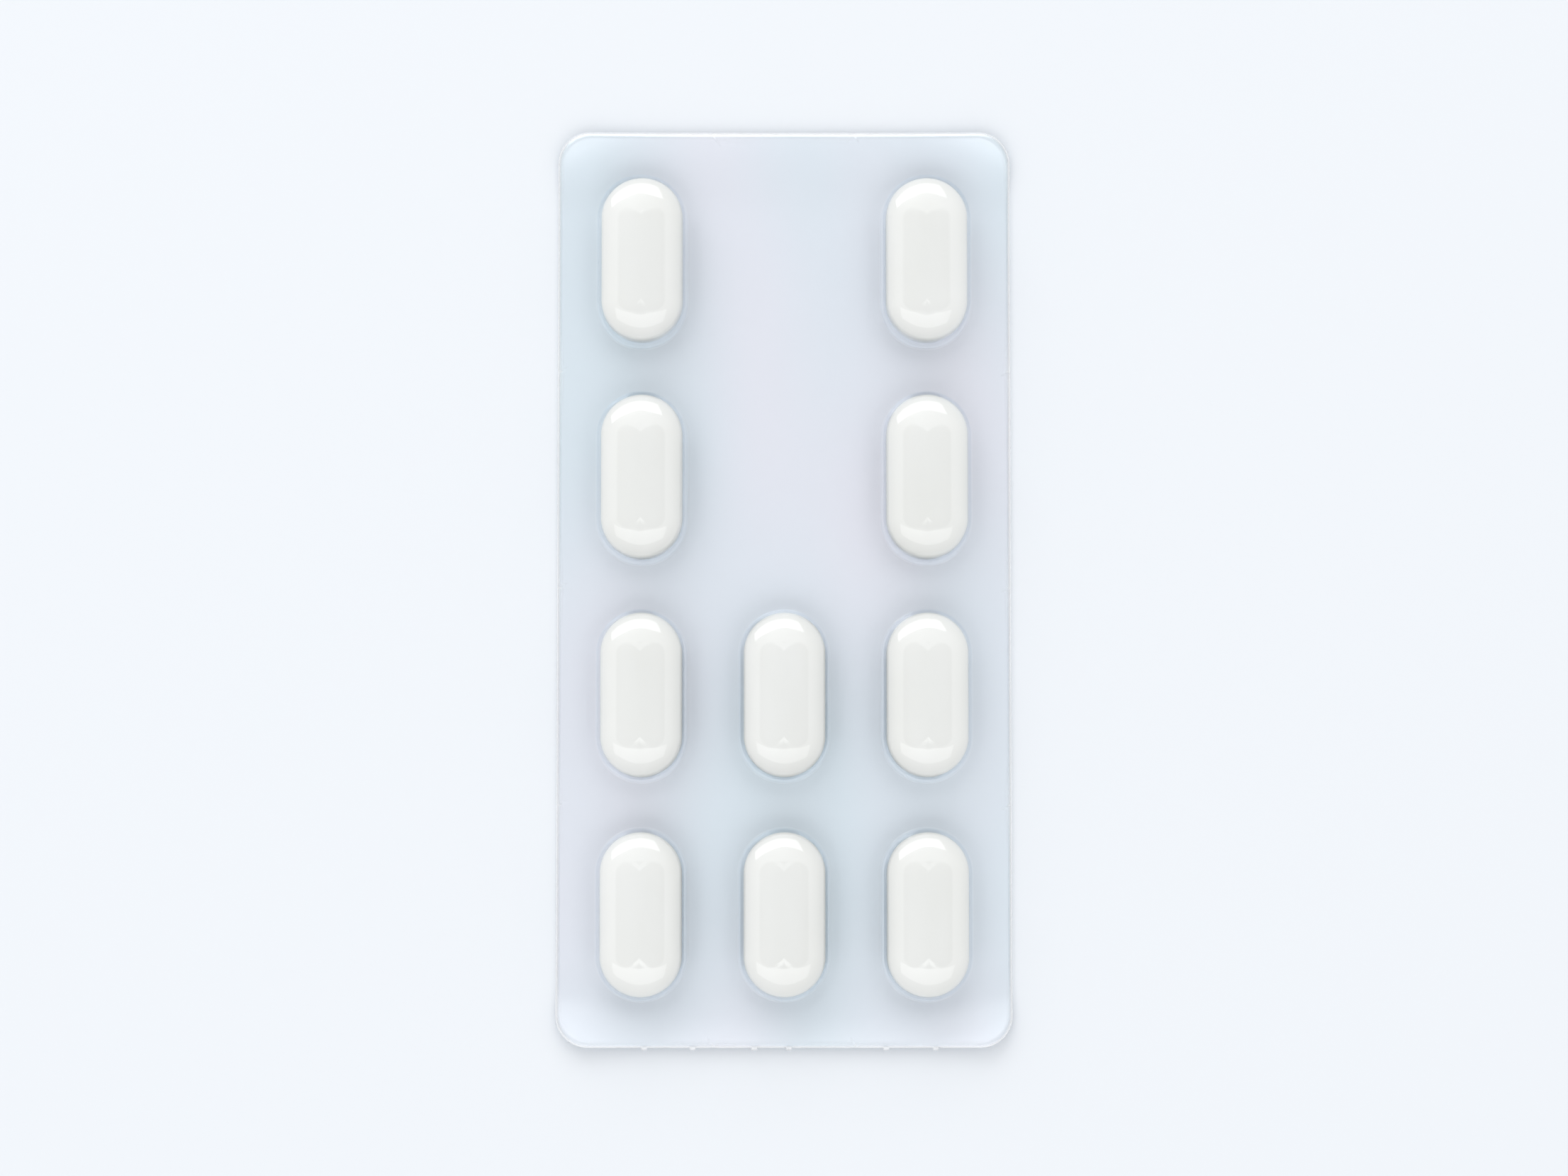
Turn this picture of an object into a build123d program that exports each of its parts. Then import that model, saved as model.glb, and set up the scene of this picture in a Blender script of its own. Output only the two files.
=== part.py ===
"""Ten-count blister pack: a clear formed film, sealed to a foil sheet, with a caplet in each pocket.

The pack lies on its foil, +Z up. +X runs across the pack and +Y along it, towards row 1.
The origin is on the foil's outer face, under the middle of the pack. Sizes are in millimetres.

Nodes:
    formed_film            clear film with ten hollow pockets drawn up out of one flat web
    lidding_foil           flat foil sheet that the web is sealed to
    caplet_rowN_COLUMN     coated caplet, loose in the pocket of that row and column
"""
from build123d import *
import os
from math import radians, tan

# ---- Sheet ---------------------------------------------------------------------------------
sheet_width = 46.0
sheet_length = 93.0
corner_radius = 3.2
film_thickness = 0.25  # of the flat web
foil_thickness = 0.03

# ---- Tear nibs: stubs left along the -Y edge where the perforation gave way ------------------
nib_width = 0.6
nib_reach = 0.3
nib_places = (-14.1, -9.2, -3.0, 0.5, 10.3, 15.3)  # along X, from the pack's centre line

# ---- Pocket grid: two rows of two pockets, then two rows of three ----------------------------
column_pitch = 14.45
row_pitch = 22.1
column_steps = {"left": -1, "centre": 0, "right": 1}
row_columns = (
    ("left", "right"),
    ("left", "right"),
    ("left", "centre", "right"),
    ("left", "centre", "right"),
)

# ---- Caplet: a straight middle with a round end each way, domed above and below its band ------
caplet_length = 16.5
caplet_width = 8.2
caplet_band = 2.6  # height of the upright side
caplet_dome = 1.5  # rise of each dome above or below the band
caplet_edge_radius = 0.4

# ---- Fit of a caplet in its pocket -----------------------------------------------------------
side_clearance = 0.1  # all round, at the top of the caplet's band
roof_clearance = 0.4
seat_gap = 0.02  # under the caplet, above the foil
caplet_lean = {"left": 0.6, "centre": 0.6, "right": 0.2}  # share of side_clearance, along X

# ---- Drawn wall of a pocket ------------------------------------------------------------------
drawn_thickness = 0.15  # the film thins as it is drawn up
draft_angle = 2.0  # degrees
shoulder_radius = 2.2
root_radius = 0.28  # on the side away from the foil

# ---- Worked out from the above ---------------------------------------------------------------
web_base_z = foil_thickness
web_top_z = web_base_z + film_thickness
sheet_centre_y = nib_reach / 2  # puts the origin under the middle of the sheet and its nibs
caplet_height = caplet_band + 2 * caplet_dome
caplet_middle_z = foil_thickness + seat_gap + caplet_height / 2
straight_length = caplet_length - caplet_width  # between the centres of the two round ends
band_top_height = seat_gap + caplet_dome + caplet_band  # above the foil
cavity_width = caplet_width + 2 * (side_clearance + band_top_height * tan(radians(draft_angle)))
cavity_height = seat_gap + caplet_height + roof_clearance
pocket_width = cavity_width + 2 * drawn_thickness
pocket_height = cavity_height + drawn_thickness
cavity_shoulder_radius = shoulder_radius - drawn_thickness
underside_radius = root_radius + film_thickness
height_tolerance = 0.001  # for picking out a face by its height


def pocket_sites():
    """Yield the row, the column's name, and the centre of each pocket."""
    top_row_y = sheet_centre_y + row_pitch * (len(row_columns) - 1) / 2
    for row_index, columns in enumerate(row_columns):
        for column in columns:
            x = column_steps[column] * column_pitch
            y = top_row_y - row_index * row_pitch
            yield row_index + 1, column, x, y


def sheet(thickness, base_z):
    """Flat sheet of the pack's outline: round corners, and the nibs along its -Y edge."""
    edge_y = sheet_centre_y - sheet_length / 2
    outline = Pos(0, sheet_centre_y) * RectangleRounded(sheet_width, sheet_length, corner_radius)
    for x in nib_places:
        outline += Pos(x, edge_y) * Rectangle(nib_width, 2 * nib_reach)
    return extrude(Pos(0, 0, base_z) * outline, amount=thickness)


def drafted_block(width, height, top_radius):
    """Block on an oblong foot, drawn in by the draft angle to a flat top with a rounded rim."""
    foot = SlotOverall(width + straight_length, width, rotation=90)
    block = extrude(foot, amount=height, taper=draft_angle)
    return fillet(block.edges().group_by(Axis.Z)[-1], top_radius)


def pocket_mouths(solid, z):
    """Edges of the holes or bosses in the flat face of a sheet that lies at height z."""
    flats = solid.faces().filter_by(GeomType.PLANE)
    level = flats.filter_by_position(Axis.Z, z - height_tolerance, z + height_tolerance)
    widest = max(level, key=lambda face: face.area)
    return ShapeList(edge for wire in widest.inner_wires() for edge in wire.edges())


def formed_film():
    """Clear film: a flat web with a hollow pocket drawn up round each caplet."""
    film = sheet(film_thickness, web_base_z)
    boss = drafted_block(pocket_width, pocket_height, shoulder_radius)
    cavity = drafted_block(cavity_width, cavity_height, cavity_shoulder_radius)
    film += [Pos(x, y, web_base_z) * boss for _, _, x, y in pocket_sites()]
    film = fillet(pocket_mouths(film, web_top_z), root_radius)
    film -= [Pos(x, y, web_base_z) * cavity for _, _, x, y in pocket_sites()]
    return fillet(pocket_mouths(film, web_base_z), underside_radius)


def caplet():
    """Oblong caplet, centred on the origin, with its length along Y."""
    half_width = caplet_width / 2
    half_band = caplet_band / 2
    half_height = caplet_height / 2
    upper_dome = TangentArc((0, half_height), (half_width, half_band), tangent=(1, 0))
    side = Line((half_width, half_band), (half_width, -half_band))
    lower_dome = TangentArc((0, -half_height), (half_width, -half_band), tangent=(1, 0))
    middle = Line((0, -half_height), (0, half_height))
    half_section = make_face([upper_dome, side, lower_dome, middle])
    half_section = fillet(half_section.vertices().group_by(Axis.X)[-1], caplet_edge_radius)
    section = half_section + mirror(half_section, Plane.YZ)
    body = extrude(Plane.XZ * section, amount=straight_length / 2, both=True)
    round_end = revolve(Plane.XZ * half_section, Axis.Z, revolution_arc=180)
    body += Pos(0, straight_length / 2) * round_end
    body += Pos(0, -straight_length / 2) * Rot(0, 0, 180) * round_end
    return body


def caplets():
    """Node name and placed solid of each caplet."""
    blank = caplet()
    placed = {}
    for row, column, x, y in pocket_sites():
        lean = caplet_lean[column] * side_clearance
        placed[f"caplet_row{row}_{column}"] = Pos(x + lean, y, caplet_middle_z) * blank
    return placed


nodes = {
    "formed_film": formed_film(),
    "lidding_foil": sheet(foil_thickness, 0),
    **caplets(),
}

os.makedirs("parts", exist_ok=True)
for name, solid in nodes.items():
    export_step(solid, f"parts/{name}.step")
    print(f"{name}: {solid.volume:.1f} mm3")
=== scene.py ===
# %% [markdown]
# # A push-through pack of caplets
# The pack is twelve pieces: one clear film with ten hollow pockets drawn up out of a flat web, one
# foil sheet that the web is sealed to, and ten coated caplets, one loose in each pocket. It lies on
# its foil. The real-size model comes first, as a frame that fixes every size and place. Each piece
# is then made again as a finer surface, to within a quarter of a millimetre of its place there, with
# its own finish.

# %% Load the frame
import math

import bmesh
import bpy
import numpy as np
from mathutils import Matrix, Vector


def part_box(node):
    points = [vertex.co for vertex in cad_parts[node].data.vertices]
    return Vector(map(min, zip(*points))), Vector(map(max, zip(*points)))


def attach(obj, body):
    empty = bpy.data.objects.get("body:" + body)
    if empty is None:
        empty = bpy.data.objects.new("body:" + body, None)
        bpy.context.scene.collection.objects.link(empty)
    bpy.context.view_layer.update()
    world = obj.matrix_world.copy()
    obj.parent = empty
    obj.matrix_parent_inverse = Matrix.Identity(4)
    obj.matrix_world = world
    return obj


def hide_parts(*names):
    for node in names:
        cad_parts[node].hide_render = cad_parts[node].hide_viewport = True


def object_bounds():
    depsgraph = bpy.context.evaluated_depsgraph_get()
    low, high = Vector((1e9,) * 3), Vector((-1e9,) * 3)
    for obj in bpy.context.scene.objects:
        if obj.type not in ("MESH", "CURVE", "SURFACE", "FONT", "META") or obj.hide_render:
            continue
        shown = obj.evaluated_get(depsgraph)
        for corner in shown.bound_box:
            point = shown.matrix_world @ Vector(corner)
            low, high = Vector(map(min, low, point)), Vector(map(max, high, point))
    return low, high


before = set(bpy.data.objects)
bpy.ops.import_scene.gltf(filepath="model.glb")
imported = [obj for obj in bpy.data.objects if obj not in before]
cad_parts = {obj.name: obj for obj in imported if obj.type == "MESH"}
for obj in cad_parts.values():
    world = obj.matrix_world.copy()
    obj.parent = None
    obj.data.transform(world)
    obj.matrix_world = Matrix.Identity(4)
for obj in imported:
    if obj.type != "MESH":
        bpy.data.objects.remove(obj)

cad_low, cad_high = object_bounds()
MM = 0.001
cad_size = [round((high - low) / MM, 2) for low, high in zip(cad_low, cad_high)]
print("nodes:", len(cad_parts), "size in mm:", cad_size)

# %% [markdown]
# ## Sizes
# The frame's boxes give the sheet, its two thicknesses, and each caplet. Only what a box can't say
# is named here: the die's corner radius, the pitch of the pockets, and the stubs that a tear-off
# perforation leaves along one edge. All sizes are in millimetres until a mesh is made.

# %% Sizes of the pack
def box_mm(node):
    """Lowest and highest corner of a node, in millimetres."""
    return [np.array(corner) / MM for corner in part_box(node)]


film_low, film_high = box_mm("formed_film")
_, foil_high = box_mm("lidding_foil")
corner_radius = 3.2
nib_width = 0.6
nib_reach = 0.3
nib_places = np.array([-14.1, -9.2, -3.0, 0.5, 10.3, 15.3])  # along x, from the middle of the sheet
column_pitch = 14.45
row_pitch = 22.1
column_names = ("left", "centre", "right")
row_columns = (
    ("left", "right"),
    ("left", "right"),
    ("left", "centre", "right"),
    ("left", "centre", "right"),
)

half_width = film_high[0]
edge_top = film_high[1]
edge_bottom = film_low[1] + nib_reach
sheet_middle_y = (edge_top + edge_bottom) / 2
column_x = (-column_pitch, 0.0, column_pitch)
row_y = sheet_middle_y + row_pitch * np.array([1.5, 0.5, -0.5, -1.5])
web_base = foil_high[2]
film_thickness = 0.25
web_top = web_base + film_thickness
print("sheet:", 2 * half_width, "by", round(edge_top - edge_bottom, 2), "mm, rows at", row_y.round(2))

# %% [markdown]
# ## Small helpers
# Colours are written as the hex values that a colour picker shows, and one function turns them to
# the linear light that a renderer adds up. Another adds a node with its settings and links, so that
# a material reads as a list of what feeds what.

# %% Colour and node helpers
def linear(hex_colour):
    """sRGB hex to linear RGBA: the low end is divided by 12.92, the rest is a power of 2.4."""
    srgb = np.array([int(hex_colour[i:i + 2], 16) for i in (1, 3, 5)]) / 255
    light = np.where(srgb <= 0.04045, srgb / 12.92, ((srgb + 0.055) / 1.055) ** 2.4)
    return (*light.tolist(), 1.0)


def add_node(tree, kind, settings=None, **inputs):
    """Adds a node, sets its properties, and sets or links its inputs by name or number."""
    node = tree.nodes.new(kind)
    for name, value in (settings or {}).items():
        setattr(node, name, value)
    for name, value in inputs.items():
        socket = node.inputs[int(name[1:])] if name[0] == "_" else node.inputs[name.replace("_", " ")]
        if isinstance(value, bpy.types.NodeSocket):
            tree.links.new(value, socket)
        else:
            socket.default_value = value
    return node


def new_material(name):
    """An empty node material and its tree, with only an output."""
    material = bpy.data.materials.new(name)
    material.use_nodes = True
    tree = material.node_tree
    tree.nodes.clear()
    return material, tree, add_node(tree, "ShaderNodeOutputMaterial")


# %% [markdown]
# ## Rays from a centre line
# Pockets, caplets and the web round them are all oblong: every ring round one is the set of points
# at some distance from a short straight centre line. So each point of a ring is found along a ray
# that leaves the centre line at a right angle, and a surface is a table of distances and heights
# along those rays. A ring at distance nothing closes the surface on the centre line itself.

# %% Oblong rings
def rays_to(border, half_line):
    """Rays to each border point: foot = the nearest point of the line x = 0, |y| <= half_line."""
    foot = np.stack([np.zeros(len(border)), border[:, 1].clip(-half_line, half_line)], axis=1)
    away = border - foot
    reach = np.linalg.norm(away, axis=1)
    return foot, away / reach[:, None], reach


def ring_points(foot, direction, distance, height, centre):
    """Points centre + foot + distance * direction, at the given heights; one row for each ring."""
    plan = foot[None] + distance[:, :, None] * direction[None]
    x = centre[0] + plan[..., 0]
    y = centre[1] + plan[..., 1]
    return np.stack([x, y, np.broadcast_to(height, x.shape)], axis=-1)


def ring_faces(rings, around):
    """Quads between neighbouring rings, which close on themselves; rings run from the inside out."""
    ring, step = np.meshgrid(np.arange(rings - 1), np.arange(around), indexing="ij")
    here = ring * around + step
    next_step = ring * around + (step + 1) % around
    quads = np.stack([here, here + around, next_step + around, next_step], axis=-1)
    return quads.reshape(-1, 4)


def make_piece(name, points, faces, merge_mm=0.002):
    """Mesh object from arrays in millimetres, smooth, with points that lie together merged."""
    mesh = bpy.data.meshes.new(name)
    mesh.from_pydata((points * MM).tolist(), [], faces.tolist())
    piece = bpy.data.objects.new(name, mesh)
    bpy.context.scene.collection.objects.link(piece)
    work = bmesh.new()
    work.from_mesh(mesh)
    bmesh.ops.remove_doubles(work, verts=work.verts, dist=merge_mm * MM)
    bmesh.ops.dissolve_degenerate(work, edges=work.edges, dist=merge_mm * MM / 2)
    work.to_mesh(mesh)
    work.free()
    mesh.shade_smooth()
    return piece


# %% [markdown]
# ## The outline and its cells
# A die cuts the sheet with round corners, and the -Y edge is torn along a perforation, which leaves
# a stub where each bridge gave way. The sheet is laid out as a grid of cells, three across and four
# along, one for each pocket's place. Two places in the middle column stay flat. Neighbouring cells
# share the points of their border, so that they join without a seam.

# %% Outline of the sheet
border_step = 0.5
stub_corners = np.array([-0.5, -0.38, 0.38, 0.5])  # root, tip, tip and root, as shares of its width
tip_share = 0.4  # what lies nearer a stub's middle than this belongs to its tip
on_edge = 1e-4
cut_x = np.array([-half_width, -column_pitch / 2, column_pitch / 2, half_width])
cut_y = np.array([edge_top, *(row_y[:-1] + row_y[1:]) / 2, edge_bottom])


def evenly(start, stop):
    """Points from start to stop, both included, about border_step apart."""
    return np.linspace(start, stop, int(round(abs(stop - start) / border_step)) + 1)


def with_nibs(x):
    """Adds the corners of each stub that lies inside a run of x."""
    sides = nib_places[:, None] + nib_width * stub_corners
    sides = sides[(sides > x.min()) & (sides < x.max())]
    return np.unique(np.concatenate([x, sides]))


def outline_distance(x, y):
    """How far inside the outline a point lies: corner radius less the distance to the inner box."""
    over_x = np.abs(x) - (half_width - corner_radius)
    over_y = np.abs(y - sheet_middle_y) - ((edge_top - edge_bottom) / 2 - corner_radius)
    outside = np.hypot(over_x.clip(0), over_y.clip(0)) + np.minimum(np.maximum(over_x, over_y), 0)
    return corner_radius - outside


def on_outline(points):
    """Draws the square corners in: a corner point goes to the circle, on its line to the centre."""
    points = points.copy()
    middle = np.array([0, sheet_middle_y])
    inner = np.array([half_width, (edge_top - edge_bottom) / 2]) - corner_radius
    away = np.abs(points - middle) - inner
    corner = (away > 0).all(axis=1)
    pulled = inner + corner_radius * away / np.linalg.norm(away, axis=1)[:, None]
    points[corner] = (middle + np.sign(points - middle) * pulled)[corner]
    return points


def with_stubs(points):
    """Moves the points at the tips of the stubs out past the torn edge, by the reach of a stub."""
    points = points.copy()
    torn = np.abs(points[:, 1] - edge_bottom) < on_edge
    stub = (np.abs(points[:, [0]] - nib_places) < tip_share * nib_width).any(axis=1)
    points[torn & stub, 1] -= nib_reach
    return points


def cell_border(column, row):
    """Border of a cell, anticlockwise from its low left corner."""
    left, right = cut_x[column], cut_x[column + 1]
    high, low = cut_y[row], cut_y[row + 1]
    low_x = evenly(left, right)
    if row == len(row_y) - 1:
        low_x = with_nibs(low_x)
    side_y = evenly(low, high)
    high_x = evenly(left, right)
    sides = [
        np.stack([low_x, np.full(len(low_x), low)], axis=1)[:-1],
        np.stack([np.full(len(side_y), right), side_y], axis=1)[:-1],
        np.stack([high_x, np.full(len(high_x), high)], axis=1)[:0:-1],
        np.stack([np.full(len(side_y), left), side_y], axis=1)[:0:-1],
    ]
    return on_outline(np.concatenate(sides))


# %% [markdown]
# ## The curl of the sheet
# The film shrinks more than the foil as a pack cools, so a real one never lies quite flat: its ends
# lift by most of a millimetre and its corners by about twice that. It could be bent with a modifier,
# but a formula of x and y can be added to the film and to the foil alike, so they stay together. It
# dies away 8 mm in from each end, so of the pockets only the outer tips rise, by under 0.2 mm.

# %% Lift of the edges
end_lift = 0.75
corner_lift = 0.7
lift_reach = 8.0


def edge_lift(x, y):
    """Rise of the sheet: past squared, times the end's lift and, by x to the fourth, the corner's."""
    from_end = edge_top - sheet_middle_y - np.abs(y - sheet_middle_y)
    past = (lift_reach - from_end).clip(0) / lift_reach
    side = (np.abs(x) / half_width) ** 4
    return end_lift * past ** 2 + corner_lift * past ** 2 * side


def lifted(points):
    """Points with the sheet's curl added to their height."""
    points = points.copy()
    points[:, 2] += edge_lift(points[:, 0], points[:, 1])
    return points


# %% [markdown]
# ## The clear film
# Warm film is drawn up round a plug and sets as a thin hollow pocket: a concave root where it
# leaves the web, a wall with a little draft, a round shoulder, and a nearly flat roof. The shoulder
# is wider at the two ends than along the sides. The pocket could be a solid with its middle cut
# away, but a film is a surface with a thickness, so it is drawn as rings and Solidify gives it its
# gauge, which is thinner where the film was stretched.

# %% Profile of a pocket
caplet_low, caplet_high = box_mm("caplet_row1_left")
caplet_size = caplet_high - caplet_low
half_line = (caplet_size[1] - caplet_size[0]) / 2
draft = math.radians(2.0)
drawn_thickness = 0.15
side_clearance = 0.1
caplet_dome = 1.5
band_top_height = caplet_high[2] - caplet_dome - web_base
foot_radius = caplet_size[0] / 2 + side_clearance + band_top_height * math.tan(draft) + drawn_thickness
roof_height = film_high[2]
roof_crown = 0.05
root_radius = 0.28
shoulder_across = (2.2, 4.0)  # plan width of the shoulder, along the sides and at the ends
shoulder_drop = (1.9, 2.4)  # its height there
roof_shares = (0.0, 0.35, 0.7, 0.9)  # where the roof's rings lie, of the way to the shoulder
shoulder_turns = np.linspace(0, math.pi / 2, 11)
root_turns = np.linspace(math.pi / 2, 0, 6)


def pocket_profile(end_share):
    """Distance from the centre line and height, ring by ring, from the roof's middle to the root.

    Each part is its own run of rings: the roof falls by a square law, the shoulder is a quarter of
    an ellipse that grows from the sides to the ends, the wall is straight, and the root is a
    concave quarter turn. end_share is nothing along the sides and one at the ends.
    """
    across, drop = (low + (high - low) * end_share for low, high in (shoulder_across, shoulder_drop))
    edge_height = roof_height - roof_crown
    wall_top = edge_height - drop
    wall_radius = foot_radius - (wall_top - web_base) * math.tan(draft)
    flat_radius = wall_radius - across
    distance, height = [], []
    for share in roof_shares:
        distance.append(flat_radius * share)
        height.append(roof_height - roof_crown * share ** 2 * np.ones_like(end_share))
    for turn in shoulder_turns:
        distance.append(flat_radius + across * math.sin(turn))
        height.append(wall_top + drop * math.cos(turn))
    root_top = web_top + root_radius
    root_centre = foot_radius - (root_top - web_base) * math.tan(draft) + root_radius
    distance.append((wall_radius + root_centre - root_radius) / 2)
    height.append((wall_top + root_top) / 2)
    for turn in root_turns:
        distance.append((root_centre - root_radius * math.sin(turn)) * np.ones_like(end_share))
        height.append((web_top + root_radius * (1 - math.cos(turn))) * np.ones_like(end_share))
    return np.array(distance), np.array(height)


pocket_height = roof_height - web_base
print("pocket:", round(2 * foot_radius, 2), "mm wide at its foot,", round(pocket_height, 2), "mm high")

# %% The film, cell by cell
lip_width = 0.2  # the cut edge is rolled over across this
lip_drop = 0.05
web_shares = np.array([0.12, 0.35, 0.65, 0.9])
lip_shares = np.array([1.0, 0.66, 0.33, 0.0])


def web_rings(start, reach):
    """Distances of the rings from start out to the border: shares of the way, then a narrow lip."""
    inner = start + web_shares[:, None] * (reach - lip_width - start)
    lip = reach - lip_width * lip_shares[:, None]
    return np.concatenate([inner, lip])


def film_cell(column, row, has_pocket):
    """Drawn face of the film over one cell: a pocket's rings or none, then flat rings to the border."""
    centre = np.array([column_x[column], row_y[row]])
    foot, direction, reach = rays_to(cell_border(column, row) - centre, half_line)
    distance, height = pocket_profile(direction[:, 1] ** 2)
    if not has_pocket:
        distance, height = distance[:1], np.full_like(distance[:1], web_top)
    web = web_rings(distance[-1], reach)
    distance = np.concatenate([distance, web])
    height = np.concatenate([height, np.full_like(web, web_top)])
    points = ring_points(foot, direction, distance, height, centre)
    faces = ring_faces(len(distance), len(reach))[:, ::-1]
    return points.reshape(-1, 3), faces


def join_cells(cells):
    """Stacks the points and faces of several cells into one pair of arrays."""
    points, faces, start = [], [], 0
    for cell_points, cell_faces in cells:
        points.append(cell_points)
        faces.append(cell_faces + start)
        start += len(cell_points)
    return np.concatenate(points), np.concatenate(faces)


cells = [(column, row) for row in range(len(row_y)) for column in range(len(column_x))]
film_points, film_faces = join_cells(
    film_cell(column, row, column_names[column] in row_columns[row]) for column, row in cells
)
inside = outline_distance(film_points[:, 0], film_points[:, 1])
rolled = (1 - inside / lip_width).clip(0, 1)
film_points[:, 2] -= lip_drop * rolled ** 2
clear_film = make_piece("clear_film", lifted(with_stubs(film_points)), film_faces)
print("film points:", len(clear_film.data.vertices), "faces:", len(clear_film.data.polygons))

# %% [markdown]
# ## Its gauge
# A stretched film is thinner than the flat web it came from. Solidify takes its thickness at each
# point from a vertex group, so the height above the web sets that group. The same cell stores how
# near a point is to the cut edge, for the finish. The faces as wound make the wall grow outwards
# from the drawn face, so this film stands 0.235 mm over the frame's. An offset of 1 would grow it
# inwards, on to the foil.

# %% Gauge of the film
gauge_trim = 0.015  # the wall is made this much thinner than the gauge
web_wall = film_thickness - gauge_trim
drawn_wall = web_wall * drawn_thickness / film_thickness


def coordinates(piece):
    """Vertex places of a piece, in millimetres, as an array."""
    flat = np.empty(len(piece.data.vertices) * 3)
    piece.data.vertices.foreach_get("co", flat)
    return flat.reshape(-1, 3) / MM


def vertex_share(piece, name, values):
    """Stores one number a vertex, from 0 to 1, as an attribute of that name."""
    layer = piece.data.attributes.new(name, "FLOAT", "POINT")
    layer.data.foreach_set("value", values.astype(np.float32))


film_at = coordinates(clear_film)
film_height = film_at[:, 2] - web_top - edge_lift(film_at[:, 0], film_at[:, 1])
stretched = (film_height / root_radius).clip(0, 1)
edge_share = (1 - outline_distance(film_at[:, 0], film_at[:, 1]) / lip_width).clip(0, 1)
vertex_share(clear_film, "cut_edge", edge_share)
gauge = clear_film.vertex_groups.new(name="gauge")
thickness_share = 1 - stretched * (1 - drawn_thickness / film_thickness)
for level in np.unique(thickness_share.round(2)):
    members = np.nonzero(thickness_share.round(2) == level)[0]
    gauge.add(members.tolist(), float(level), "REPLACE")
wall = clear_film.modifiers.new("gauge", "SOLIDIFY")
wall.thickness = web_wall * MM
wall.offset = -1
wall.use_even_offset = False
wall.vertex_group = "gauge"
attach(clear_film, "root")
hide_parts("formed_film")
print("wall:", round(web_wall, 3), "mm in the web,", round(drawn_wall, 3), "mm where it is drawn")

# %% [markdown]
# ## The foil
# Hard aluminium foil with a heat-seal lacquer is sealed flat to the web and cut with it. One flat
# face would do, but it has to curl with the film, so it is made of the same cells and borders.

# %% The foil sheet
leaf_shares = np.array([0.0, 0.25, 0.5, 0.75, 0.95, 1.0])
leaf_inset = 0.02  # of its edge, inside the film's
leaf_drop = 0.01  # of its lower face, under the top of the frame's foil
leaf_thickness = 0.02


def foil_cell(column, row):
    """Lower face of the foil over one cell: rings from the centre line out to the border."""
    centre = np.array([column_x[column], row_y[row]])
    foot, direction, reach = rays_to(cell_border(column, row) - centre, half_line)
    distance = leaf_shares[:, None] * (reach - leaf_inset)
    height = np.full_like(distance, foil_high[2] - leaf_drop)
    points = ring_points(foot, direction, distance, height, centre)
    return points.reshape(-1, 3), ring_faces(len(distance), len(reach))[:, ::-1]


foil_points, foil_faces = join_cells(foil_cell(column, row) for column, row in cells)
satin_foil = make_piece("satin_foil", lifted(foil_points), foil_faces, merge_mm=0.05)
leaf = satin_foil.modifiers.new("gauge", "SOLIDIFY")
leaf.thickness = leaf_thickness * MM
leaf.offset = -1
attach(satin_foil, "root")
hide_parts("lidding_foil")
print("foil points:", len(satin_foil.data.vertices))

# %% [markdown]
# ## The caplets
# A caplet is pressed between two punches in an oblong die: an upright band, with a dome above and
# below it, and round ends. A profile turned round a short centre line gives the sides and the ends
# in one surface, where a cylinder and two domes would leave seams. Its halves meet on the centre
# line, where one has a point that the other lacks, so the mesh isn't quite closed there.

# %% The caplets
dome_rings = 16
points_round = 96
far_ring = 20.0  # any distance past the caplet, as only the rays' directions are used


def caplet_profile():
    """Distance and height, from the bottom round to the top.

    Each dome is the arc through the middle of the face and the rim of the band, whose radius is
    (half width squared + dome squared) / (2 * dome). The band between them is upright.
    """
    half_across, _, half_height = caplet_size / 2
    half_band = half_height - caplet_dome
    radius = (half_across ** 2 + caplet_dome ** 2) / (2 * caplet_dome)
    across = np.linspace(0, half_across, dome_rings)
    rise = half_height - radius + np.sqrt(radius ** 2 - across ** 2)
    upper = np.stack([across, rise], axis=1)
    band_height = half_band * np.array([-0.5, 0.0, 0.5])
    band = np.stack([np.full(3, half_across), band_height], axis=1)
    profile = np.concatenate([upper * [1, -1], band, upper[::-1]])
    return profile[:, 0], profile[:, 1]


def caplet_piece(node):
    """A caplet where the frame has it: its profile along rays spread evenly round the line."""
    low, high = box_mm(node)
    middle = (low + high) / 2
    turn = np.linspace(0, 2 * math.pi, points_round, endpoint=False)
    circle = far_ring * np.stack([np.cos(turn), np.sin(turn)], axis=1)
    border = circle + np.stack([0 * turn, np.sign(np.sin(turn)) * half_line], axis=1)
    foot, direction, _ = rays_to(border, half_line)
    distance, height = caplet_profile()
    distance = np.broadcast_to(distance[:, None], (len(distance), len(turn)))
    height = middle[2] + height[:, None]
    points = ring_points(foot, direction, distance, height, middle[:2]).reshape(-1, 3)
    piece = make_piece("coated_" + node, points, ring_faces(len(distance), len(turn)))
    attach(piece, "root")
    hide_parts(node)
    return piece


caplets = [
    caplet_piece(f"caplet_row{row}_{column}")
    for row, columns in enumerate(row_columns, 1)
    for column in columns
]
print("caplets:", len(caplets), "of", len(caplets[0].data.vertices), "points, mm:", caplet_size.round(2))

# %% [markdown]
# ## Patterns for the finishes
# No surface here is one flat colour. Noise in object coordinates gives both the broad unevenness and
# the fine texture, so nothing has to be drawn or unwrapped. Its patches are set by their size on the
# real thing, in millimetres.

# %% Noise and tint helpers
def noise_at(tree, patch_mm, detail):
    """Noise whose patches are about as long as patch_mm on each axis."""
    per_metre = [1 / (length * MM) for length in patch_mm]
    place = add_node(tree, "ShaderNodeTexCoord")
    scaled = add_node(tree, "ShaderNodeMapping", Vector=place.outputs["Object"], Scale=per_metre)
    return add_node(tree, "ShaderNodeTexNoise", Vector=scaled.outputs[0], Scale=1.0, Detail=detail)


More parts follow.
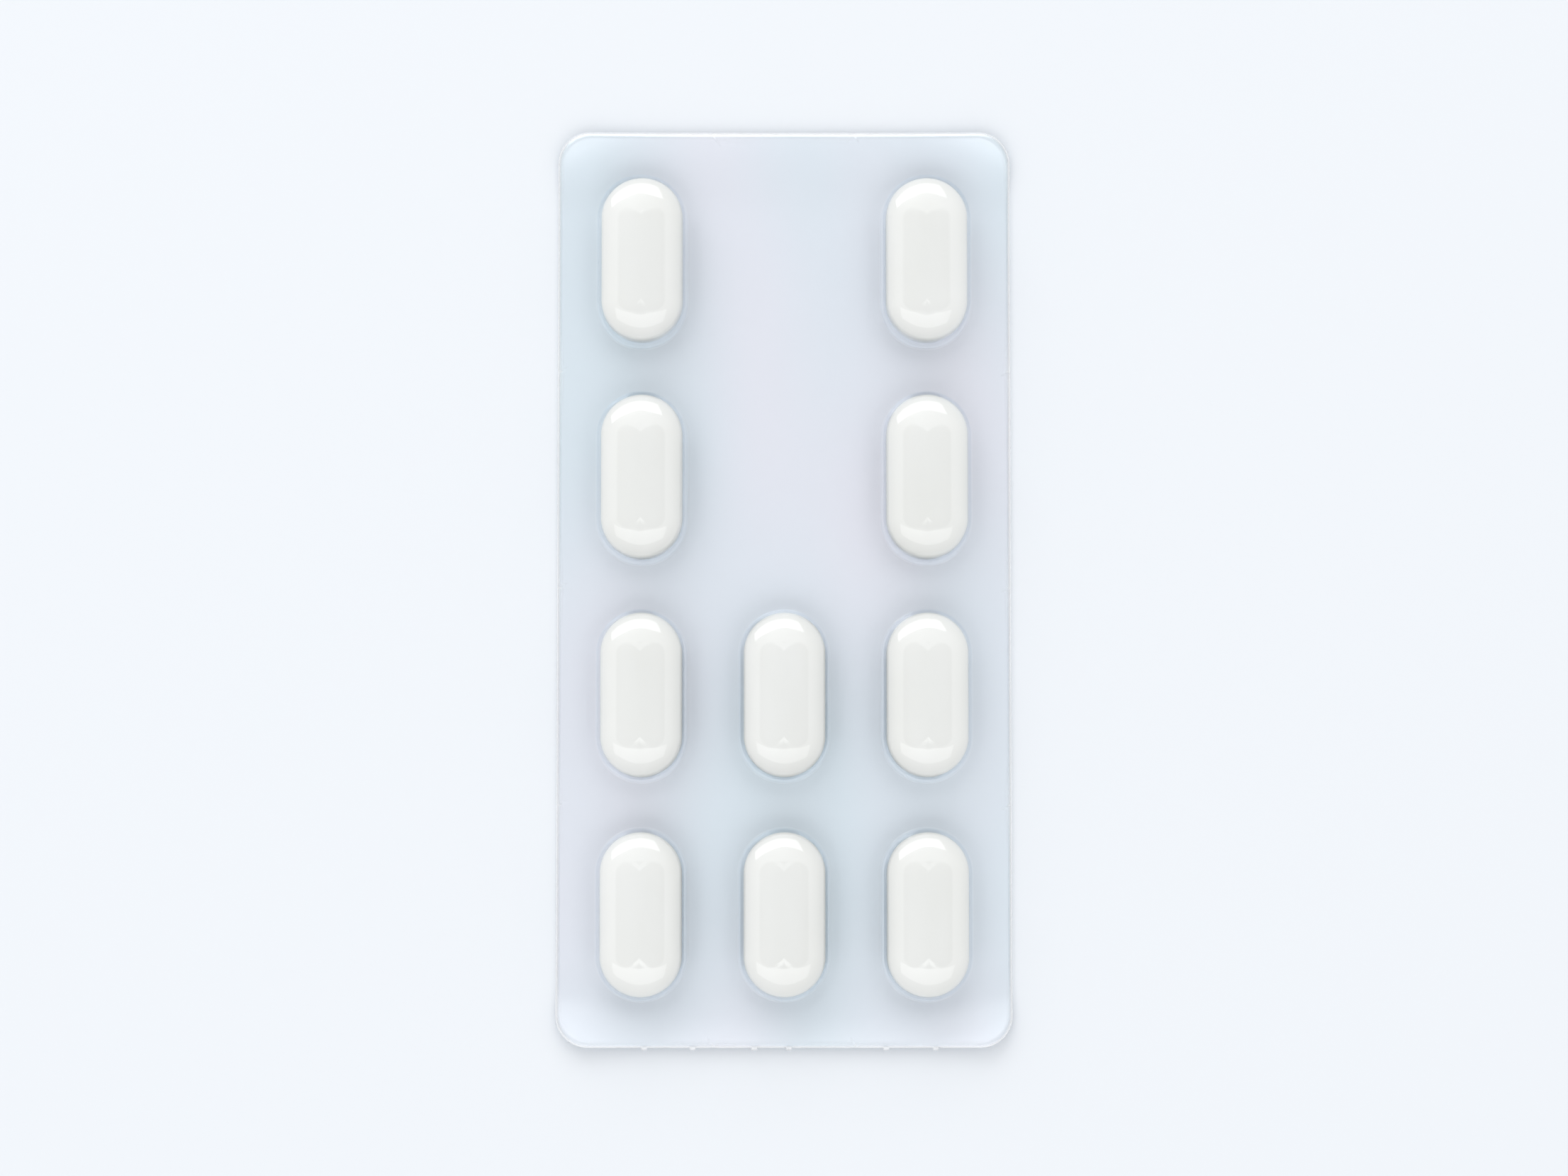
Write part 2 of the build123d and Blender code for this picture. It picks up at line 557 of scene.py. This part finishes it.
def tinted(tree, share, first, second):
    """A colour between two linear colours, by a share from nought to one."""
    mix = add_node(tree, "ShaderNodeMix", {"data_type": "RGBA"}, _0=share, _6=first, _7=second)
    return mix.outputs[2]


# %% [markdown]
# ## The caplets' coating
# The pressed tablet is sprayed with a thin white polymer film as it tumbles in a pan. That gives the
# eye a warm white with a soft sheen, a little uneven in tone, and a faint orange-peel. The real peel
# is finer than can be seen here, so it is drawn at 0.4 mm.

# %% Sprayed film coating
def sprayed_coating():
    """Pan-sprayed tablet coating: warm white in two close tones, under a soft sheen."""
    material, tree, output = new_material("white_film_coating")
    patches = noise_at(tree, (6.25, 16.7, 6.25), 2.0)
    white = tinted(tree, patches.outputs["Fac"], linear("#F1F0EC"), linear("#E7E6DF"))
    peel = noise_at(tree, (0.4, 0.4, 0.4), 3.0)
    bump = add_node(tree, "ShaderNodeBump", Strength=0.12, Distance=0.03 * MM, Height=peel.outputs["Fac"])
    shader = add_node(
        tree,
        "ShaderNodeBsdfPrincipled",
        Base_Color=white,
        Roughness=0.38,
        Normal=bump.outputs[0],
    )
    tree.links.new(shader.outputs[0], output.inputs[0])
    return material


coating = sprayed_coating()
for piece in caplets:
    piece.data.materials.append(coating)
print("coating on", coating.users, "caplets")

# %% [markdown]
# ## The foil's finish
# Foil is rolled two leaves at a time, and the sides that touch come out satin. That gives the eye a
# soft metal with no clear reflection. Broad tints of blue and lilac, as a room would reflect, are
# painted into its colour by noise: a painted reflection. The rolling leaves fine lines along its
# length. They are a few hundredths of a millimetre apart on real foil, and are drawn several times as
# coarse.

# %% Satin foil
def rolled_satin():
    """Aluminium foil, satin side: bare metal, rough 0.5, with roll lines along y."""
    material, tree, output = new_material("satin_aluminium_foil")
    broad = noise_at(tree, (22.2, 55.6, 22.2), 1.0)
    spread = add_node(
        tree,
        "ShaderNodeMapRange",
        Value=broad.outputs["Fac"],
        From_Min=0.35,
        From_Max=0.65,
    )
    # painted reflection: blue and lilac room tints, mixed into the foil's colour by broad noise
    painted_room_tint = tinted(tree, spread.outputs[0], linear("#F2F2F8"), linear("#E9F2F7"))
    lines = noise_at(tree, (0.167, 8.33, 0.167), 2.0)
    bump = add_node(tree, "ShaderNodeBump", Strength=0.15, Distance=0.02 * MM, Height=lines.outputs["Fac"])
    shader = add_node(
        tree,
        "ShaderNodeBsdfPrincipled",
        Base_Color=painted_room_tint,
        Metallic=1.0,
        Roughness=0.5,
        Normal=bump.outputs[0],
    )
    tree.links.new(shader.outputs[0], output.inputs[0])
    return material


satin_foil.data.materials.append(rolled_satin())
print("foil finish:", satin_foil.data.materials[0].name)

# %% [markdown]
# ## The film's finish
# Clear PVC, formed warm against a cool mould, stays glossy. That gives the eye the foil and the
# caplets seen through it, a crisp highlight on each shoulder, and walls that turn bluish where the
# eye looks along them. Glass with refraction is one way to make it, but light would then reach the
# foil only by chance and leave it grainy and dark. A thin film barely bends light, so it is clear
# transparency with a gloss on top instead. The gloss follows Schlick's curve for an IOR of 1.5: 4%
# seen square on, rising with the fifth power towards the edge. Along the cut edge a milky white is
# mixed in: a painted highlight, where the edge would catch the light.

# %% Clear film
square_on = 0.04
square_pass = (0.988, 0.993, 1.0, 1.0)  # share of red, green and blue that one face lets through
glancing_pass = (0.88, 0.92, 0.96, 1.0)
# share of painted highlight: opaque milky white mixed into the film along its cut edge
edge_highlight_strength = 0.45


def clear_pvc():
    """Thermoformed PVC: transparency tinted by slant, a Schlick gloss, and a painted cut-edge highlight.
    """
    material, tree, output = new_material("clear_thermoformed_pvc")
    facing = add_node(tree, "ShaderNodeLayerWeight", Blend=0.5).outputs["Facing"]
    steep = add_node(tree, "ShaderNodeMath", {"operation": "POWER"}, _0=facing, _1=5.0)
    share = add_node(
        tree,
        "ShaderNodeMath",
        {"operation": "MULTIPLY_ADD"},
        _0=steep.outputs[0],
        _1=1 - square_on,
        _2=square_on,
    )
    slant = add_node(tree, "ShaderNodeMath", {"operation": "POWER"}, _0=facing, _1=2.5)
    passed = tinted(tree, slant.outputs[0], square_pass, glancing_pass)
    through = add_node(tree, "ShaderNodeBsdfTransparent", Color=passed).outputs[0]
    gloss = add_node(tree, "ShaderNodeBsdfGlossy", Color=(1, 1, 1, 1), Roughness=0.06).outputs[0]
    clear = add_node(tree, "ShaderNodeMixShader", _0=share.outputs[0], _1=through, _2=gloss)
    edge = add_node(tree, "ShaderNodeAttribute", {"attribute_name": "cut_edge"}).outputs["Fac"]
    # painted highlight: milky white that stands in for the light caught by the cut edge
    painted_edge_highlight = add_node(tree, "ShaderNodeBsdfPrincipled", Base_Color=linear("#FBFCFD"), Roughness=0.4)
    edge_highlight_weight = add_node(tree, "ShaderNodeMath", {"operation": "MULTIPLY"}, _0=edge, _1=edge_highlight_strength)
    whole = add_node(
        tree,
        "ShaderNodeMixShader",
        _0=edge_highlight_weight.outputs[0],
        _1=clear.outputs[0],
        _2=painted_edge_highlight.outputs[0],
    )
    tree.links.new(whole.outputs[0], output.inputs[0])
    return material


clear_film.data.materials.append(clear_pvc())
print("film finish:", clear_film.data.materials[0].name)

# %% [markdown]
# ## The table
# A pale matt board, large enough to fill the view. It is only a stage for the pack and isn't part
# of it. Its colour, not extra light, makes the background pale, so it keeps the pack's shadow.

# %% Pale board
board_reach = 3.0  # metres from the middle to each side
corners = [(x * board_reach, y * board_reach, 0) for x, y in ((-1, -1), (1, -1), (1, 1), (-1, 1))]
board_mesh = bpy.data.meshes.new("floor")
board_mesh.from_pydata(corners, [], [(0, 1, 2, 3)])
board = bpy.data.objects.new("floor", board_mesh)
bpy.context.scene.collection.objects.link(board)
board_material, tree, output = new_material("pale_floor")
shader = add_node(tree, "ShaderNodeBsdfPrincipled", Base_Color=linear("#E3E7EC"), Roughness=0.9)
tree.links.new(shader.outputs[0], output.inputs[0])
board_mesh.materials.append(board_material)
print("board:", 2 * board_reach, "m across")

# %% [markdown]
# ## The light
# A white room lights the pack from all round, a little weaker near the horizon. Straight overhead
# it is dimmer, as where a camera and its stand hang over a table: that gives the flat roofs and the
# caplets' middles a darker patch with a bright rim. One long soft lamp behind the far edge puts the
# highlights on the upper shoulders and the shadow along the near edge, and a weaker one in front
# keeps the near ends of the caplets from going grey.

# %% Room light
room_levels = ((0.0, 0.7), (0.3, 0.8), (0.7, 1.0), (0.955, 1.0), (0.98, 0.45), (1.0, 0.45))
world = bpy.data.worlds.new("studio")
bpy.context.scene.world = world
world.use_nodes = True
tree = world.node_tree
tree.nodes.clear()
output = add_node(tree, "ShaderNodeOutputWorld")
where = add_node(tree, "ShaderNodeTexCoord")
upward = add_node(tree, "ShaderNodeSeparateXYZ", Vector=where.outputs["Generated"])
ramp = add_node(tree, "ShaderNodeValToRGB", Fac=upward.outputs["Z"])
stops = ramp.color_ramp.elements
for place, level in room_levels:
    stop = stops[0] if place == 0 else stops[-1] if place == 1 else stops.new(place)
    stop.position = place
    stop.color = (level, level, level, 1)
room = add_node(tree, "ShaderNodeBackground", Color=ramp.outputs["Color"], Strength=1.0)
tree.links.new(room.outputs[0], output.inputs[0])
print("room light, by the sine of the height above the horizon:", room_levels)


# %% Lamps
def soft_lamp(name, place, size, power):
    """Oblong area lamp at a place in metres, turned towards the origin."""
    data = bpy.data.lights.new(name, "AREA")
    data.shape = "RECTANGLE"
    data.size, data.size_y = size
    data.energy = power
    lamp = bpy.data.objects.new(name, data)
    lamp.location = place
    lamp.rotation_euler = (-Vector(place)).to_track_quat("-Z", "Y").to_euler()
    bpy.context.scene.collection.objects.link(lamp)
    return lamp


lamps = [
    soft_lamp("key", (-0.25, 0.95, 0.62), (1.3, 0.6), 4.6),
    soft_lamp("front", (-0.05, -0.60, 0.92), (1.3, 0.62), 1.9),
]
print("lamps, in watts:", {lamp.name: round(lamp.data.energy, 2) for lamp in lamps})

# %% [markdown]
# ## The camera
# It looks almost straight down from half a metre, tipped by a few degrees towards the near edge, so
# that the near faces of the pockets just show. A long lens keeps the sheet's sides nearly parallel.

# %% Camera
camera_tilt = math.radians(4.1)
camera_distance = 0.46
aim = np.array([0.0, sheet_middle_y, 0.0]) * MM
camera_data = bpy.data.cameras.new("camera")
camera_data.sensor_width = 36.0
camera_data.lens = 103.8
camera_data.clip_end = 20
camera = bpy.data.objects.new("camera", camera_data)
camera.location = aim + camera_distance * np.array([0.0, -math.sin(camera_tilt), math.cos(camera_tilt)])
camera.rotation_euler = (camera_tilt, 0, 0)
bpy.context.scene.collection.objects.link(camera)
bpy.context.scene.camera = camera
bpy.context.scene.view_settings.view_transform = "Standard"
print("camera:", camera_distance, "m away, lens", round(camera_data.lens, 1), "mm")
